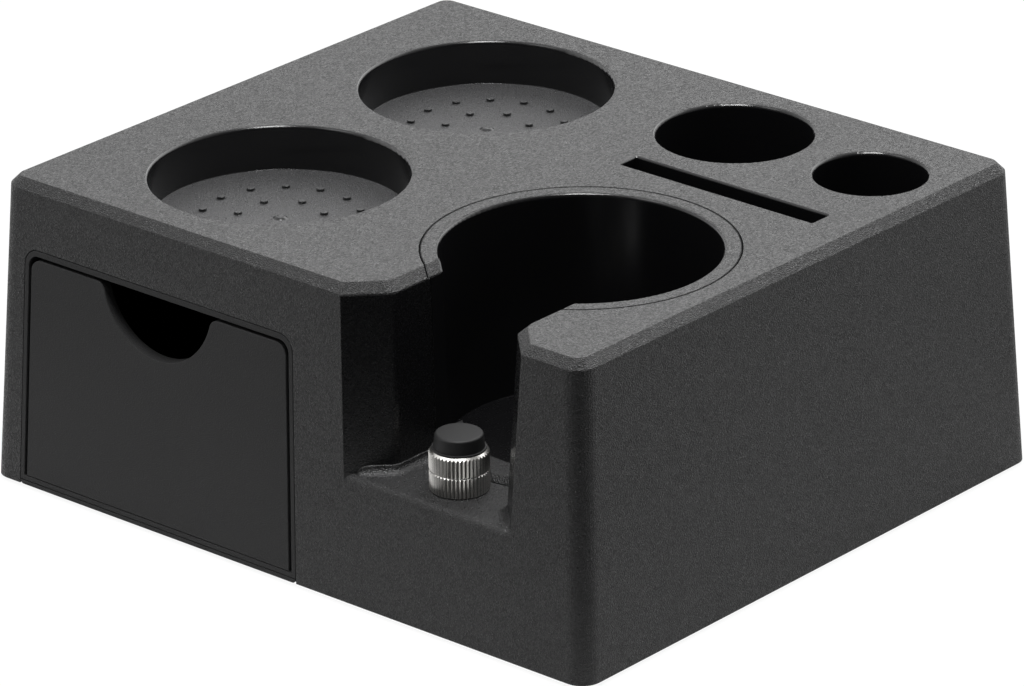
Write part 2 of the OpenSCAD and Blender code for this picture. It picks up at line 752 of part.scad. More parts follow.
// Stiffening ribs on the half of the plate that the sleeve leaves free
module plate_ribs() {
    left_x = mid_x;
    length = boss_x - left_x;
    for (y = [-boss_y, mid_y, boss_y])
        translate([left_x, y - rib_t / 2, foot_z]) cube([length, rib_t, plate_rib_h]);
    for (x = [left_x, boss_x])
        translate([x - rib_t / 2, -boss_y, foot_z]) cube([rib_t, 2 * boss_y, plate_rib_h]);
    translate([cup_x - rib_t / 2, -boss_y, foot_z]) cube([rib_t, 2 * boss_y, plate_rib_h]);
}

// A straight-knurled ring with chamfered ends
module knurled_ring(h, top_chamfer) {
    r = knurl_d / 2;
    low = knurl_chamfer;
    intersection() {
        linear_extrude(h) polygon([for (i = [0:2 * knurl_count - 1])
            let (t = 180 * i / knurl_count) (r - knurl_depth * (i % 2)) * [cos(t), sin(t)]]);
        rotate_extrude() polygon([[0, 0], [r - low, 0], [r + low, 2 * low],
            [r + top_chamfer, h - 2 * top_chamfer], [r - top_chamfer, h], [0, h]]);
    }
}

module rest_screw() color("#c9cacc") translate([cup_x, rest_y, 0]) {
    translate([0, 0, head_z]) knurled_ring(head_h, head_chamfer);
    translate([0, 0, head_z]) cylinder(d = spigot_d, h = head_h + spigot_h);
    translate([0, 0, ledge_z - shank_reach]) {
        cylinder(d1 = thread_d - 2 * knurl_chamfer, d2 = thread_d, h = knurl_chamfer);
        translate([0, 0, knurl_chamfer])
            cylinder(d = thread_d, h = head_z - ledge_z + shank_reach - knurl_chamfer + fit);
    }
}

module lock_nut() color("#c2c3c5") translate([cup_x, rest_y, nut_z]) difference() {
    knurled_ring(nut_h, knurl_chamfer);
    translate([0, 0, -over]) cylinder(d = thread_d + 2 * rest_gap, h = nut_h + 2 * over);
}

module rest_cap() color("#1c1c1d") translate([cup_x, rest_y, cap_z]) rotate_extrude()
    difference() {
        union() {
            square([cap_d / 2 + cap_lip, cap_lip]);
            polygon([[0, 0], [cap_d / 2, 0], [cap_top_d / 2, cap_h - cap_r],
                [cap_top_d / 2 - cap_r, cap_h], [0, cap_h]]);
            translate([cap_top_d / 2 - cap_r, cap_h - cap_r]) circle(cap_r);
        }
        translate([-over, -over]) square([spigot_d / 2 + fit + over, spigot_h + over]);
        translate([-2 * cap_d, -cap_d]) square([2 * cap_d, 3 * cap_d]);
    }

module screw_insert() color("#b08d3f") translate([cup_x, rest_y, ledge_z - insert_l]) difference() {
    cylinder(d = insert_d, h = insert_l);
    translate([0, 0, -over]) cylinder(d = thread_d + rest_gap, h = insert_l + 2 * over);
    for (i = [1:2]) translate([0, 0, insert_l * i / 3]) rotate_extrude()
        translate([insert_d / 2, 0]) circle(knurl_depth, $fn = 16);
}

// A pan-head screw that points up, with its head's seat at z = 0
module pan_screw(length) {
    cylinder(d = screw_d, h = length - screw_d / 2);
    translate([0, 0, length - screw_d / 2]) cylinder(d1 = screw_d, d2 = 0, h = screw_d / 2);
    difference() {
        rotate_extrude() difference() {
            translate([0, -screw_head_h]) square([screw_head_d / 2, screw_head_h]);
            difference() {
                translate([screw_head_d / 2 - fit * screw_d, -screw_head_h - fit]) square(screw_d);
                translate([0, -2 * screw_head_h]) square(screw_head_h);
            }
        }
        cross_recess();
    }
}

module cross_recess() {
    arm = screw_d / 4;
    for (turn = [0, 90]) rotate([0, 0, turn])
        translate([-screw_d / 2, -arm / 2, -screw_head_h - over])
            cube([screw_d, arm, over + screw_head_h / 2]);
}

module base_screws() color("#3a3a3c") for (p = base_screw_places)
    translate([p.x, p.y, foot_z + head_sink + screw_head_h]) pan_screw(screw_l);

module sleeve_screws() color("#3a3a3c") for (p = ear_places)
    translate([p.x, p.y, ear_z - ear_t]) pan_screw(screw_l);

// A rubber pad with a rounded foot, glued under the base plate
module foot(side_x, side_y) color("#1a1a1b") {
    pad_r = foot_d / 2;
    edge = foot_stand / 2;
    translate([side_x * (body_w / 2 - foot_inset), side_y * (body_d / 2 - foot_inset), 0])
        rotate_extrude() union() {
            translate([0, edge]) square([pad_r, foot_stand - edge]);
            square([pad_r - edge, foot_stand]);
            intersection() {
                translate([pad_r - edge, edge]) circle(edge, $fn = 32);
                square([pad_r, foot_stand]);
            }
        }
}

module foot_front_left() { foot(-1, -1); }
module foot_front_right() { foot(1, -1); }
module foot_rear_left() { foot(-1, 1); }
module foot_rear_right() { foot(1, 1); }

housing();
portafilter_liner();
drawer_sleeve();
drawer();
base_plate();
rest_screw();
lock_nut();
rest_cap();
screw_insert();
base_screws();
sleeve_screws();
foot_front_left();
foot_front_right();
foot_rear_left();
foot_rear_right();
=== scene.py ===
# %% [markdown]
# # An espresso accessory organizer in moulded black ABS
#
# The organizer is a hollow block of black plastic with a drawer, a lift-out cup for a
# portafilter, a small metal height rest and several recesses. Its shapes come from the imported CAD
# model. This script gives each of its pieces the finish that the real one has, and sets up the
# floor, the light and the camera.

# %% Load the frame
import json
import math

import bpy
from mathutils import Matrix, Vector


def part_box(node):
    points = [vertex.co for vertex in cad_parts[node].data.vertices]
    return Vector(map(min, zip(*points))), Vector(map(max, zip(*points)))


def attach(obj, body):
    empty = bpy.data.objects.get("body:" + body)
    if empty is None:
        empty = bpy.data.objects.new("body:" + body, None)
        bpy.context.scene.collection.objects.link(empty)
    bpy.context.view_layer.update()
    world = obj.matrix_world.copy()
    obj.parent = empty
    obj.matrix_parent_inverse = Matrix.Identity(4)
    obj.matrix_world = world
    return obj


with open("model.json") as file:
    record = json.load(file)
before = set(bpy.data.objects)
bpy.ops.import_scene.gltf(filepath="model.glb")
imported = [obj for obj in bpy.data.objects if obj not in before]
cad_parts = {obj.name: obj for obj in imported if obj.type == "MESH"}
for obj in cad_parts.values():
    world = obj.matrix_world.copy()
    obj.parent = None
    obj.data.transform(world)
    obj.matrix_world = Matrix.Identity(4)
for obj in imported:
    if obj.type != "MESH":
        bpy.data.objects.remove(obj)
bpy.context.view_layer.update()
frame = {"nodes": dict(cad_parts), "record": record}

nodes = frame["nodes"]

# %% [markdown]
# ## Measures
#
# Every pattern below is sized in millimetres, so one named value turns millimetres into Blender's
# metres. The places of the recesses are read from the frame: the record keeps a box for each
# opening and a mount for each deep hole.

# %% Measures
mm = 0.001

openings = {o["name"]: [Vector(c) for c in o["box_m"]]
            for o in frame["record"]["physics"]["openings"]}
mounts = {m["name"]: m for m in frame["record"]["mounts"]}

top_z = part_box("housing")[1][2]
liner_low, liner_high = [Vector(c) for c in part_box("portafilter_liner")]
liner_middle = Vector((liner_high.x + liner_low.x, liner_high.y + liner_low.y, 0)) / 2
flange_r = (liner_high.x - liner_low.x) / 2
flange_width = 4.7 * mm
liner_bore_r = flange_r - flange_width
liner_middle.y = liner_high.y - flange_r

well_r = 35.5 * mm
rim_r = 1 * mm
well_rim_z = top_z - 5 * mm
cup_floor_z = 36 * mm
cup_play = 0.4 * mm
seam_half_width = 0.3 * mm
seam_low_z = top_z - 1 * mm
straight = 0.9  # how much of its normal a face has along an axis to count as facing it


def middle_of(opening):
    low, high = openings[opening]
    return Vector(((low.x + high.x) / 2, (low.y + high.y) / 2, 0))


bores = [(middle_of("front_well"), well_r), (middle_of("rear_well"), well_r)]
for name in ("tool_hole_large", "tool_hole_small"):
    x, y = mounts[name]["pos_m"][:2]
    bores.append((Vector((x, y, 0)), mounts[name]["dims"]["r_mm"] * mm))
print("top at", round(top_z / mm, 2), "mm; liner bore", round(liner_bore_r / mm, 2), "mm")

# %% [markdown]
# ## Colours and nodes
#
# Colours are easiest to match as the sRGB hex values that a screen shows, but a shader works in
# linear light, so one function turns the one into the other. Another small function adds a shader
# node with its settings and links, which keeps each material readable from top to bottom.

# %% Helpers for colours and nodes
def linear(hex_colour):
    channels = [int(hex_colour[i:i + 2], 16) / 255 for i in (1, 3, 5)]
    return [c / 12.92 if c <= 0.04045 else ((c + 0.055) / 1.055) ** 2.4 for c in channels] + [1.0]


def scaled(hex_colour, factor):
    return [factor * c for c in linear(hex_colour)[:3]] + [1.0]


def add(tree, kind, inputs=None, **settings):
    made = tree.nodes.new("ShaderNode" + kind)
    for name, value in settings.items():
        setattr(made, name, value)
    for socket, value in (inputs or {}).items():
        if isinstance(value, bpy.types.NodeSocket):
            tree.links.new(value, made.inputs[socket])
        else:
            made.inputs[socket].default_value = value
    return made


def empty_material(name):
    material = bpy.data.materials.new(name)
    material.use_nodes = True
    material.node_tree.nodes.clear()
    return material, material.node_tree


def dress(material, *names):
    for name in names:
        data = nodes[name].data
        data.materials.clear()
        data.materials.append(material)
    print(material.name, "on", ", ".join(names))


# %% [markdown]
# ## Black ABS from a spark-eroded mould
#
# The block, its cup and its drawer are injection moulded in black ABS. The mould's outer faces
# were made by spark erosion, which leaves tiny pits all over them: the plastic takes a fine, even
# grain that scatters the light, so a black face turned to the light looks grey and its bevels
# sparkle. The mould's round cores were polished, so the walls of wells, holes and cup are smooth
# and glossy and stay nearly black. The side walls of the handle channel were rubbed down most of
# the way.
#
# The grain is a bump from noise and from small cells. Each cell also has a gloss of its own, as
# each pit in the mould does, and that makes single grains sparkle. Where a wall is polished comes
# from its place and from the direction that it faces. The floors of the two wells are painted
# paler, in tones that follow the grain: painted light, standing in for the light that falls on them
# from above. The Bevel node rounds the edges a little, as every moulded edge is. A band on both
# sides of the seam round the cup has its gloss turned down, a painted shade that draws the seam as
# a dark line.

# %% Masks for the polished walls, the painted light on the well floors and the painted seam shade
def both(tree, first, second):
    return add(tree, "Math", {0: first, 1: second}, operation="MULTIPLY").outputs[0]


def inside_circles(tree, circles):
    """1 above and below each of the circles."""
    axes = add(tree, "SeparateXYZ", {0: add(tree, "TexCoord").outputs["Object"]})
    flat = add(tree, "CombineXYZ", {0: axes.outputs[0], 1: axes.outputs[1]}).outputs[0]
    mask = 0.0
    for middle, radius in circles:
        gap = add(tree, "VectorMath", {0: flat, 1: middle}, operation="DISTANCE").outputs["Value"]
        inside = add(tree, "Math", {0: gap, 1: radius}, operation="LESS_THAN").outputs[0]
        mask = add(tree, "Math", {0: mask, 1: inside}, operation="MAXIMUM").outputs[0]
    return mask


def inside_box(tree, low, high):
    """1 inside the box."""
    place = add(tree, "TexCoord").outputs["Object"]
    middle = (low + high) / 2
    offset = add(tree, "VectorMath", {0: place, 1: middle}, operation="SUBTRACT").outputs[0]
    spread = add(tree, "VectorMath", {0: offset}, operation="ABSOLUTE").outputs[0]
    axes = add(tree, "SeparateXYZ", {0: spread})
    mask = 1.0
    for axis in range(3):
        half_size = (high - low)[axis] / 2
        inside = add(tree, "Math", {0: axes.outputs[axis], 1: half_size},
                     operation="LESS_THAN").outputs[0]
        mask = both(tree, mask, inside)
    return mask


def either(tree, *masks):
    mask = masks[0]
    for other in masks[1:]:
        mask = add(tree, "Math", {0: mask, 1: other}, operation="MAXIMUM").outputs[0]
    return mask


def neither(tree, *masks):
    return add(tree, "Math", {0: 1.0, 1: either(tree, *masks)}, operation="SUBTRACT").outputs[0]


def facing(tree, axis, least):
    """1 on faces that look along an axis, either way, by at least that share."""
    normal = add(tree, "SeparateXYZ", {0: add(tree, "NewGeometry").outputs["Normal"]})
    share = add(tree, "Math", {0: normal.outputs[axis]}, operation="ABSOLUTE").outputs[0]
    return add(tree, "Math", {0: share, 1: least}, operation="GREATER_THAN").outputs[0]


def upright(tree):
    """1 on walls, 0 on floors and tops."""
    return neither(tree, facing(tree, 2, straight))


def below(tree, height):
    """1 under that height."""
    axes = add(tree, "SeparateXYZ", {0: add(tree, "TexCoord").outputs["Object"]})
    return add(tree, "Math", {0: axes.outputs[2], 1: height}, operation="LESS_THAN").outputs[0]


def housing_polish(tree):
    """1 on the polished walls of the housing, and less on the handle channel's rubbed walls."""
    sideways, rubbed_share = 0.3, 0.8
    channel_walls = both(tree, inside_box(tree, *channel_box), facing(tree, 0, sideways))
    channel_walls = both(tree, channel_walls, rubbed_share)
    recesses = either(tree, inside_circles(tree, [(m, r + rim_r) for m, r in bores]),
                      inside_box(tree, *slot_box), channel_walls)
    return both(tree, recesses, upright(tree))


def painted_seam_shade(tree):
    """1 on a band on both sides of the seam round the cup's flange, whose gloss is turned down as
    painted shade.
    """
    outer = inside_circles(tree, [(liner_middle, flange_r + seam_half_width)])
    inner = inside_circles(tree, [(liner_middle, flange_r - seam_half_width)])
    ring = both(tree, outer, neither(tree, inner, below(tree, seam_low_z)))
    return both(tree, ring, facing(tree, 2, straight))


def painted_light_floors(tree):
    """1 on the two wells' floors, which get painted light; their circles come first in the list."""
    floors = both(tree, facing(tree, 2, straight), below(tree, well_rim_z))
    return both(tree, inside_circles(tree, bores[:2]), floors)


def liner_polish(tree):
    """1 on the cup's wall and on the cut for the handle, and less on the cup's floor."""
    floor_share = 0.85
    floor = both(tree, below(tree, cup_floor_z), floor_share)
    cup = both(tree, inside_circles(tree, [(liner_middle, liner_bore_r + cup_play)]),
               either(tree, upright(tree), floor))
    cut = both(tree, inside_box(tree, *cut_box), facing(tree, 0, straight))
    return either(tree, cup, cut)


# %% The moulded plastic
abs_ior = 1.54
abs_black = "#0b0b0c"
painted_light_tones = "#4e4e4f", "#131314"
polished_roughness, polished_grain = 0.2, 0.03
plain_gloss, seam_shade_gloss = 0.5, 0.05
pit_share = 0.4
patch_size, patch_roughness = 40 * mm, 0.03
paler = 1.35


def moulded_abs(name, grain_size, grain_depth, roughness, edge_r, sparkle=0.0, polished=None,
                painted_light_mask=None):
    material, tree = empty_material(name)
    place = add(tree, "TexCoord").outputs["Object"]
    fine = add(tree, "TexNoise", {"Vector": place, "Scale": 1 / grain_size, "Detail": 2.0,
                                  "Roughness": 0.6})
    pits = add(tree, "TexVoronoi", {"Vector": place, "Scale": 0.9 / grain_size, "Randomness": 1.0})
    height = add(tree, "Mix", {0: pit_share, 2: fine.outputs["Fac"], 3: pits.outputs["Distance"]})
    slow = add(tree, "TexNoise", {"Vector": place, "Scale": 1 / patch_size, "Detail": 3.0})
    rounded = add(tree, "Bevel", {"Radius": edge_r}, samples=4)
    strength, gloss = 1.0, plain_gloss
    facet = add(tree, "MapRange", {"Value": pits.outputs["Color"], "To Min": -sparkle,
                                   "To Max": sparkle}).outputs["Result"]
    rough = add(tree, "MapRange", {"Value": slow.outputs["Fac"],
                                   "To Min": roughness - patch_roughness,
                                   "To Max": roughness + patch_roughness}).outputs["Result"]
    rough = add(tree, "Math", {0: rough, 1: facet}, operation="ADD").outputs[0]
    if polished:
        mask = polished(tree)
        strength = add(tree, "MapRange", {"Value": mask, "To Min": strength,
                                          "To Max": polished_grain}).outputs["Result"]
        rough = add(tree, "Mix", {0: mask, 2: rough, 3: polished_roughness}).outputs[0]
        # Painted shade: a band on both sides of the seam round the cup gets little gloss, so it
        # reads as a dark line.
        gloss = add(tree, "MapRange", {"Value": painted_seam_shade(tree), "To Min": gloss,
                                       "To Max": seam_shade_gloss}).outputs["Result"]
    grain = add(tree, "Bump", {"Strength": strength, "Distance": grain_depth,
                               "Height": height.outputs[0], "Normal": rounded.outputs[0]})
    tint = add(tree, "MapRange", {"Value": fine.outputs["Fac"], "From Min": 0.3, "From Max": 0.7})
    colour = add(tree, "Mix", {0: tint.outputs["Result"], 6: linear(abs_black),
                               7: scaled(abs_black, paler)}, data_type="RGBA").outputs[2]
    # Painted light: the well floors are painted paler, in tones that follow the grain.
    if painted_light_mask:
        pale, dark = [linear(tone) for tone in painted_light_tones]
        grains = add(tree, "Mix", {0: height.outputs[0], 6: pale, 7: dark},
                     data_type="RGBA").outputs[2]
        colour = add(tree, "Mix", {0: painted_light_mask(tree), 6: colour, 7: grains},
                     data_type="RGBA").outputs[2]
    surface = add(tree, "BsdfPrincipled", {"Base Color": colour, "Roughness": rough, "IOR": abs_ior,
                                           "Specular IOR Level": gloss, "Normal": grain.outputs[0]})
    add(tree, "OutputMaterial", {"Surface": surface.outputs[0]})
    return material


# %% [markdown]
# The housing and the cup share one finish, and each has its own polished bores. The drawer's
# mould has a finer grain than the block's, so its face looks smoother. The sleeve's edge matches
# the drawer.

# %% Dress the plastic pieces
slot_low, slot_high = openings["tool_slot"]
slot_box = (slot_low - Vector((1, 1, 1)) * mm, slot_high + Vector((1, 1, 0)) * mm)
channel_low, channel_high = openings["channel_mouth"]
below_chamfer_z = top_z - 3 * mm
bevel_width, channel_end_y = 9 * mm, -60 * mm
channel_box = (channel_low - Vector((bevel_width, 0, 0)),
               Vector((channel_high.x + bevel_width, channel_end_y, below_chamfer_z)))
cut_half_width, cut_end_y = 23.5 * mm, -45 * mm
cut_box = (Vector((liner_middle.x - cut_half_width, channel_low.y, channel_low.z)),
           Vector((liner_middle.x + cut_half_width, cut_end_y, below_chamfer_z)))

grain_size = 0.38 * mm
housing_abs = moulded_abs("grained_black_abs", grain_size, grain_depth=0.45 * mm, roughness=0.5,
                          edge_r=0.5 * mm, sparkle=0.3, polished=housing_polish, painted_light_mask=painted_light_floors)
liner_abs = moulded_abs("liner_black_abs", grain_size, grain_depth=0.45 * mm, roughness=0.5,
                        edge_r=0.4 * mm, sparkle=0.3, polished=liner_polish)
drawer_abs = moulded_abs("fine_black_abs", grain_size, grain_depth=0.2 * mm, roughness=0.7,
                         edge_r=0.4 * mm)
fillet_abs = moulded_abs("rubbed_black_abs", grain_size, grain_depth=0.3 * mm, roughness=0.42,
                         edge_r=0.1 * mm, sparkle=0.25)

dress(housing_abs, "housing")
dress(liner_abs, "portafilter_liner")
dress(drawer_abs, "drawer", "drawer_sleeve", "base_plate")

# %% [markdown]
# ## The fillet along the ledge
#
# The mould leaves a small round fillet where the walls of the handle channel stand on the ledge,
# and in the light it shows as a bright curved line. It follows the foot of each wall: straight
# from the cup to the mouth, round the mouth's soft corner and out along the bevel, where it fades
# away before the ledge's edge. The fillet is built here as a closed bar with one hollow side, set
# a little into the wall and the ledge, and it rides on the block.

# %% Ledge fillet
ledge_z = 36.8 * mm
foot_half_width = 18.9 * mm
mouth_y = -82.9 * mm
mouth_r = 3.5 * mm
bevel_run = 9.4 * mm
wall_start_y = -67.75 * mm
fillet_r = 2.4 * mm
fade_run = 4 * mm
buried = 0.12 * mm
least_share = 0.002  # keeps the bar's last section from closing to a point
wall_steps, bend_steps, bevel_steps, arc_steps = 12, 8, 16, 10

corner = Vector((foot_half_width + mouth_r, mouth_y + mouth_r * (math.sqrt(2) - 1)))
path = []
for i in range(wall_steps):
    y = wall_start_y + (corner.y - wall_start_y) * i / wall_steps
    path.append((Vector((foot_half_width, y)), Vector((-1, 0)), 1.0))
for i in range(bend_steps + 1):
    angle = math.radians(180 + 45 * i / bend_steps)
    outward = Vector((math.cos(angle), math.sin(angle)))
    path.append((corner + mouth_r * outward, outward, 1.0))
bevel_start, outward = path[-1][:2]
along_bevel = Vector((1, -1)).normalized()
for i in range(1, bevel_steps + 1):
    run = bevel_run * i / bevel_steps
    share = min(1.0, (bevel_run - run) / fade_run)
    share = max(least_share, share)
    path.append((bevel_start + run * along_bevel, outward, math.sqrt(share * (2 - share))))

points, curved, hidden = [], [], []
for side in (-1, 1):
    start = len(points)
    for foot, away, share in path:
        section = []
        for k in range(arc_steps + 1):
            angle = math.pi / 2 * k / arc_steps
            section.append([share * fillet_r * (1 - math.cos(angle)),
                            share * fillet_r * (1 - math.sin(angle))])
        section[0][0] = -buried
        section[-1][1] = -buried / 4
        section.append([-buried, -buried / 4])
        for gap, height in section:
            place = foot + gap * away
            points.append((liner_middle.x + side * place.x, place.y, ledge_z + height))
    row = arc_steps + 2
    rings = [[start + i * row + k for k in range(row)] for i in range(len(path))]
    strips = []
    for near, far in zip(rings, rings[1:]):
        strips += [(near[k - 1], near[k], far[k], far[k - 1]) for k in range(row)]
    ends = [tuple(rings[0][::-1]), tuple(rings[-1])]
    faces = strips + ends if side > 0 else [face[::-1] for face in strips + ends]
    for i, face in enumerate(faces):
        is_arc = i < len(strips) and 1 <= i % row <= arc_steps
        (curved if is_arc else hidden).append(face)

fillet_mesh = bpy.data.meshes.new("ledge_fillets")
fillet_mesh.from_pydata(points, [], curved + hidden)
for i, face in enumerate(fillet_mesh.polygons):
    face.use_smooth = i < len(curved)
fillets = bpy.data.objects.new("ledge_fillets", fillet_mesh)
bpy.context.collection.objects.link(fillets)
fillet_mesh.materials.append(fillet_abs)
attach(fillets, "block")
print("fillets:", len(curved), "curved faces and", len(hidden), "hidden ones")

# %% [markdown]
# ## Nickel-plated brass
#
# The rest's screw and lock nut are turned from brass, knurled and nickel plated. Plating leaves a
# bright metal with a soft satin gleam: its ridges catch the light in thin white lines with dark
# flutes between. The bottoms of the flutes are painted darker, a painted shade in the hollows,
# which the Ambient Occlusion node finds because they see little of their surroundings. The screw's
# shank carries a rolled M6 thread, drawn as a bump: its height follows the angle round the shank
# and the rise along it, one turn for each pitch.

# %% A rolled thread
thread_r = 3.2 * mm
thread_pitch = 1 * mm
thread_depth = 0.55 * mm


def thread_grooves(tree, middle):
    """Height of a right-hand thread on an upright shank, from 0 to 0.5, and 1 away from it."""
    place = add(tree, "TexCoord").outputs["Object"]
    offset = add(tree, "VectorMath", {0: place, 1: middle}, operation="SUBTRACT").outputs[0]
    offset = add(tree, "SeparateXYZ", {0: offset})
    across = add(tree, "CombineXYZ", {0: offset.outputs[0], 1: offset.outputs[1]}).outputs[0]
    radius = add(tree, "VectorMath", {0: across}, operation="LENGTH").outputs["Value"]
    away = add(tree, "Math", {0: radius, 1: thread_r}, operation="GREATER_THAN").outputs[0]
    angle = add(tree, "Math", {0: offset.outputs[1], 1: offset.outputs[0]},
                operation="ARCTAN2").outputs[0]
    turns = add(tree, "Math", {0: angle, 1: 2 * math.pi}, operation="DIVIDE").outputs[0]
    rise = add(tree, "Math", {0: offset.outputs[2], 1: thread_pitch}, operation="DIVIDE").outputs[0]
    phase = add(tree, "Math", {0: rise, 1: turns}, operation="SUBTRACT").outputs[0]
    height = add(tree, "Math", {0: phase, 1: 0.5}, operation="PINGPONG").outputs[0]
    return add(tree, "Math", {0: height, 1: away}, operation="MAXIMUM").outputs[0]


# %% Dress the metal pieces
nickel = "#dcdad6"
satin_size, satin_depth = 0.25 * mm, 0.002 * mm
flute_depth = 0.6 * mm
flute_shade_share = 0.16


def plated_metal(name, colour, roughness, edge_r, thread_middle=None):
    material, tree = empty_material(name)
    place = add(tree, "TexCoord").outputs["Object"]
    satin = add(tree, "TexNoise", {"Vector": place, "Scale": 1 / satin_size, "Detail": 2.0})
    rounded = add(tree, "Bevel", {"Radius": edge_r}, samples=8)
    bump = add(tree, "Bump", {"Strength": 0.3, "Distance": satin_depth,
                              "Height": satin.outputs["Fac"], "Normal": rounded.outputs[0]})
    if thread_middle:
        grooves = thread_grooves(tree, thread_middle)
        bump = add(tree, "Bump", {"Strength": 1.0, "Distance": 2 * thread_depth, "Height": grooves,
                                  "Normal": bump.outputs[0]})
    rough = add(tree, "MapRange", {"Value": satin.outputs["Fac"], "To Min": roughness - 0.03,
                                   "To Max": roughness + 0.04})
    # Painted shade: the plate's colour is darkened where the Ambient Occlusion node finds hollows,
    # such as the bottoms of the flutes.
    open_share = add(tree, "AmbientOcclusion", {"Distance": flute_depth}, samples=8,
                     only_local=True).outputs["AO"]
    bright = add(tree, "MapRange", {"Value": open_share, "From Min": 0.55,
                                    "From Max": 0.9}).outputs["Result"]
    plate = add(tree, "Mix", {0: bright, 6: scaled(colour, flute_shade_share), 7: linear(colour)},
                data_type="RGBA").outputs[2]
    surface = add(tree, "BsdfPrincipled", {"Base Color": plate, "Metallic": 1.0,
                                           "Roughness": rough.outputs["Result"],
                                           "Normal": bump.outputs[0]})
    add(tree, "OutputMaterial", {"Surface": surface.outputs[0]})
    return material


screw_low, screw_high = [Vector(c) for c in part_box("rest_screw")]
screw_middle = (screw_low + screw_high) / 2

dress(plated_metal("nickel_plated_brass", nickel, roughness=0.28, edge_r=0.02 * mm), "lock_nut")
dress(plated_metal("threaded_nickel_plated_brass", nickel, roughness=0.28, edge_r=0.02 * mm,
                   thread_middle=screw_middle), "rest_screw")
dress(plated_metal("turned_brass", "#b5914e", roughness=0.3, edge_r=0.1 * mm), "screw_insert")
dress(plated_metal("black_zinc_steel", "#3a3a3c", roughness=0.38, edge_r=0.1 * mm),
      "base_screws", "sleeve_screws")

# %% [markdown]
# ## Moulded rubber
#
# The rest's cap and the four feet are moulded in black rubber. Rubber has no grain to speak of,
# but its surface is slightly uneven and dusty, which turns its sheen into a broad, dull grey.

# %% Dress the rubber pieces
dust_size, dust_depth = 0.8 * mm, 0.02 * mm
rubber_edge_r = 0.25 * mm
rubber_ior, dusty_gloss = 1.52, 0.42


def moulded_rubber(name, colour, roughness):
    material, tree = empty_material(name)
    place = add(tree, "TexCoord").outputs["Object"]
    dust = add(tree, "TexNoise", {"Vector": place, "Scale": 1 / dust_size, "Detail": 4.0})
    rounded = add(tree, "Bevel", {"Radius": rubber_edge_r}, samples=4)
    bump = add(tree, "Bump", {"Strength": 0.5, "Distance": dust_depth,
                              "Height": dust.outputs["Fac"], "Normal": rounded.outputs[0]})
    surface = add(tree, "BsdfPrincipled", {"Base Color": linear(colour), "Roughness": roughness,
                                           "IOR": rubber_ior, "Specular IOR Level": dusty_gloss,
                                           "Normal": bump.outputs[0]})
    add(tree, "OutputMaterial", {"Surface": surface.outputs[0]})
    return material


dress(moulded_rubber("black_rubber", "#0a0a0b", roughness=0.6),
      "rest_cap", "foot_front_left", "foot_front_right", "foot_rear_left", "foot_rear_right")

# %% [markdown]
# ## Floor
#
# The object was photographed on a white table, with a dark studio in front of it. The floor shows
# itself to the camera as white and keeps the object's soft shadow, and further out metal and
# plastic mirror the same white. Close to the object they mirror a pale floor tone that is painted
# to fade with the distance, a little more on the right, as painted light falling off. In front of
# the block's corner the floor is painted dark, a painted shade that stands in for the dark studio,
# as if a black sheet lay there. So the corner mirrors something dark between two paler faces. The
# floor lies a hair under the feet.

# %% Floor
to_the_front_corner = Vector((0.656, -0.755, 0.0))
to_the_right = Vector((0.755, 0.656, 0.0))
floor_half = 3.0
floor_z = -0.02 * mm
floor_mesh = bpy.data.meshes.new("floor")
floor_corners = [(x * floor_half, y * floor_half, floor_z)
                 for x, y in ((-1, -1), (1, -1), (1, 1), (-1, 1))]
floor_mesh.from_pydata(floor_corners, [], [(0, 1, 2, 3)])
floor = bpy.data.objects.new("floor", floor_mesh)
bpy.context.collection.objects.link(floor)


def fade(tree, value, start, end, first, last, curve="SMOOTHSTEP"):
    """From the first level to the last, while the value goes from start to end."""
    ramp = add(tree, "MapRange", {"Value": value, "From Min": start, "From Max": end,
                                  "To Min": first, "To Max": last}, interpolation_type=curve)
    return ramp.outputs["Result"]


floor_paper, tree = empty_material("white_paper")
place = add(tree, "NewGeometry").outputs["Position"]
forward = add(tree, "VectorMath", {0: place, 1: to_the_front_corner},
              operation="DOT_PRODUCT").outputs["Value"]
sideways = add(tree, "VectorMath", {0: place, 1: to_the_right},
               operation="DOT_PRODUCT").outputs["Value"]
away = add(tree, "VectorMath", {0: place}, operation="LENGTH").outputs["Value"]
# Painted light and shade on the floor: its tone fades with the distance and towards the right, and
# a painted dark patch lies in front of the block's corner, all for the object to mirror.
painted_dark_patch = fade(tree, forward, 145 * mm, 210 * mm, 0.0, 1.0)
far = fade(tree, away, 120 * mm, 260 * mm, 0.0, 1.0)
open_floor = fade(tree, away, 250 * mm, 450 * mm, 0.0, 1.0)
less = fade(tree, sideways, -50 * mm, 200 * mm, 1.0, 0.74, curve="LINEAR")

pale = add(tree, "Mix", {0: far, 6: linear("#d0d0d0"), 7: linear("#a0a0a0")}, data_type="RGBA")
pale = add(tree, "VectorMath", {0: pale.outputs[2], "Scale": less}, operation="SCALE")
shade = add(tree, "Mix", {0: painted_dark_patch, 6: pale.outputs[0], 7: linear("#1a1a1a")}, data_type="RGBA")
paper = add(tree, "BsdfDiffuse", {"Color": shade.outputs[2]})

white = add(tree, "BsdfDiffuse", {"Color": linear("#f2f2f2")})
glow = add(tree, "Emission", {"Color": linear("#ffffff"), "Strength": 1.0})
glow_share = 0.92
lit_white = add(tree, "MixShader", {0: glow_share, 1: white.outputs[0], 2: glow.outputs[0]})

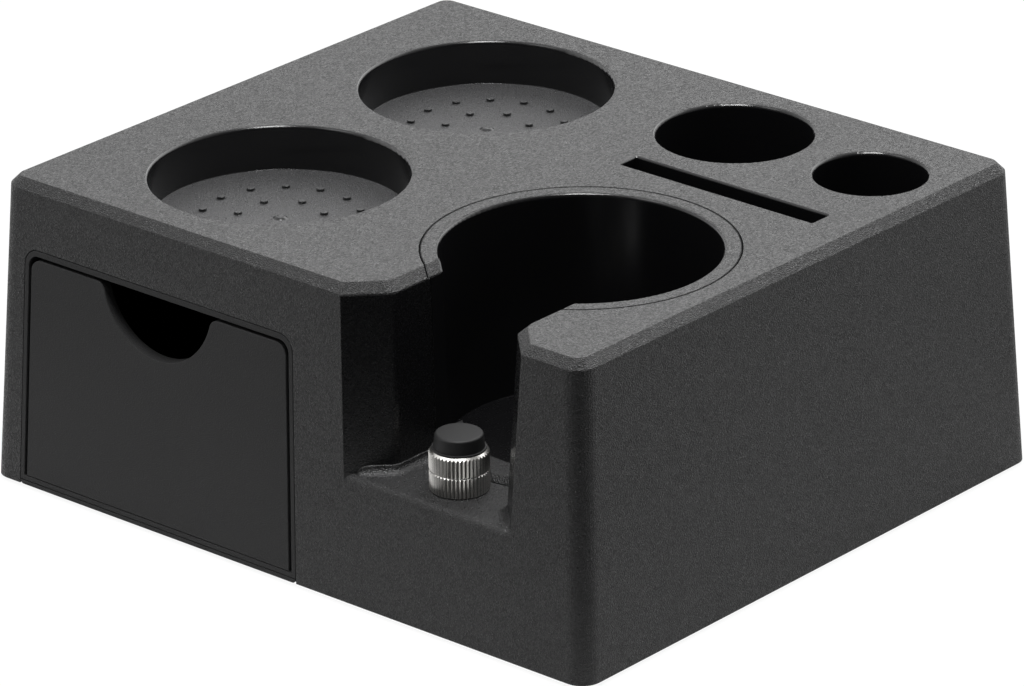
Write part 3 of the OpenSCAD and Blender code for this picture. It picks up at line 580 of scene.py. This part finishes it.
rays = add(tree, "LightPath").outputs
mirrored = either(tree, rays["Is Glossy Ray"], rays["Is Transmission Ray"])
mirrored = both(tree, mirrored, both(tree, open_floor, neither(tree, painted_dark_patch)))
seen = either(tree, rays["Is Camera Ray"], mirrored)
mixed = add(tree, "MixShader", {0: seen, 1: paper.outputs[0], 2: lit_white.outputs[0]})
add(tree, "OutputMaterial", {"Surface": mixed.outputs[0]})
floor_mesh.materials.append(floor_paper)
print("floor", 2 * floor_half, "m")

# %% [markdown]
# ## Light
#
# The camera sees the top at a low angle, and there it mirrors what stands behind the object. A
# long, low softbox at the back gives the top its broad grey sheen and draws the bright bevel on
# the right. The world stands for a pale room with a dark end in front of the object: every wall
# that faces that way mirrors the dark, so the walls of cup, wells and channel stay nearly black.
# A small softbox overhead draws the thin bright lines on rims, knurls and fillets, and a weak one
# at the front left fills the shadows.

# %% World
bright_end, dark_end = 1.15, 0.06
world = bpy.data.worlds.new("studio")
bpy.context.scene.world = world
world.use_nodes = True
tree = world.node_tree
tree.nodes.clear()
direction = add(tree, "TexCoord").outputs["Generated"]
along = add(tree, "VectorMath", {0: direction, 1: to_the_front_corner},
            operation="DOT_PRODUCT").outputs["Value"]
room = fade(tree, along, -0.4, 0.85, bright_end, dark_end)
seen = add(tree, "LightPath").outputs["Is Camera Ray"]
brightness = add(tree, "Mix", {0: seen, 2: room, 3: 1.0}).outputs[0]
background = add(tree, "Background", {"Color": linear("#ffffff"), "Strength": brightness})
add(tree, "OutputWorld", {"Surface": background.outputs[0]})
print("world from", bright_end, "behind the object to", dark_end, "in front of it")

# %% Lamps
target = Vector((0.017, -0.009, 0.045))


def soft_lamp(name, place, width, height, power):
    """A rectangular softbox that points at the object."""
    lamp = bpy.data.lights.new(name, "AREA")
    lamp.shape = "RECTANGLE"
    lamp.size = width
    lamp.size_y = height
    lamp.energy = power
    holder = bpy.data.objects.new(name, lamp)
    holder.location = place
    holder.rotation_euler = (target - Vector(place)).to_track_quat("-Z", "Y").to_euler()
    bpy.context.collection.objects.link(holder)
    print(name, "at", place, power, "W")


soft_lamp("back_softbox", (-0.20, 1.25, 0.95), width=2.6, height=1.2, power=18.5)
soft_lamp("top_softbox", (0.14, -0.15, 0.90), width=0.25, height=0.25, power=7)
soft_lamp("fill_softbox", (-0.35, -0.75, 1.00), width=0.5, height=0.5, power=2)

# %% [markdown]
# ## Camera
#
# The photograph was taken from far away with a long lens, 41 degrees to the right of the front
# and 23 degrees up, and tilted by less than a degree. The camera's place comes from those angles
# and a distance. The image isn't centred on the lens's axis, so the camera has a small sideways
# shift.

# %% Camera
turn = math.radians(41.017)
rise = math.radians(23.172)
tilt = math.radians(-0.631)
distance = 1.8555
aim = Vector((16.66, -9.18, 44.98)) * mm
image_width = 1024
focal_pixels = 6862
axis_offset_pixels = 22.29

to_camera = Vector((math.sin(turn) * math.cos(rise), -math.cos(turn) * math.cos(rise),
                    math.sin(rise)))
right = Vector((math.cos(turn), math.sin(turn), 0))
up = to_camera.cross(right)
right_tilted = math.cos(tilt) * right + math.sin(tilt) * up
up_tilted = math.cos(tilt) * up - math.sin(tilt) * right

camera_data = bpy.data.cameras.new("camera")
camera_data.sensor_width = 36  # millimetres, as on a full-frame camera
camera_data.lens = camera_data.sensor_width * focal_pixels / image_width
camera_data.shift_x = -axis_offset_pixels / image_width
camera_data.clip_end = 20
camera = bpy.data.objects.new("camera", camera_data)
bpy.context.collection.objects.link(camera)
facing_aim = Matrix((right_tilted, up_tilted, to_camera)).transposed().to_4x4()
camera.matrix_world = Matrix.Translation(aim + distance * to_camera) @ facing_aim
bpy.context.scene.camera = camera
bpy.context.scene.view_settings.view_transform = "Standard"
print("camera at", [round(c, 4) for c in camera.matrix_world.translation])
print("lens", round(camera_data.lens, 1), "mm")
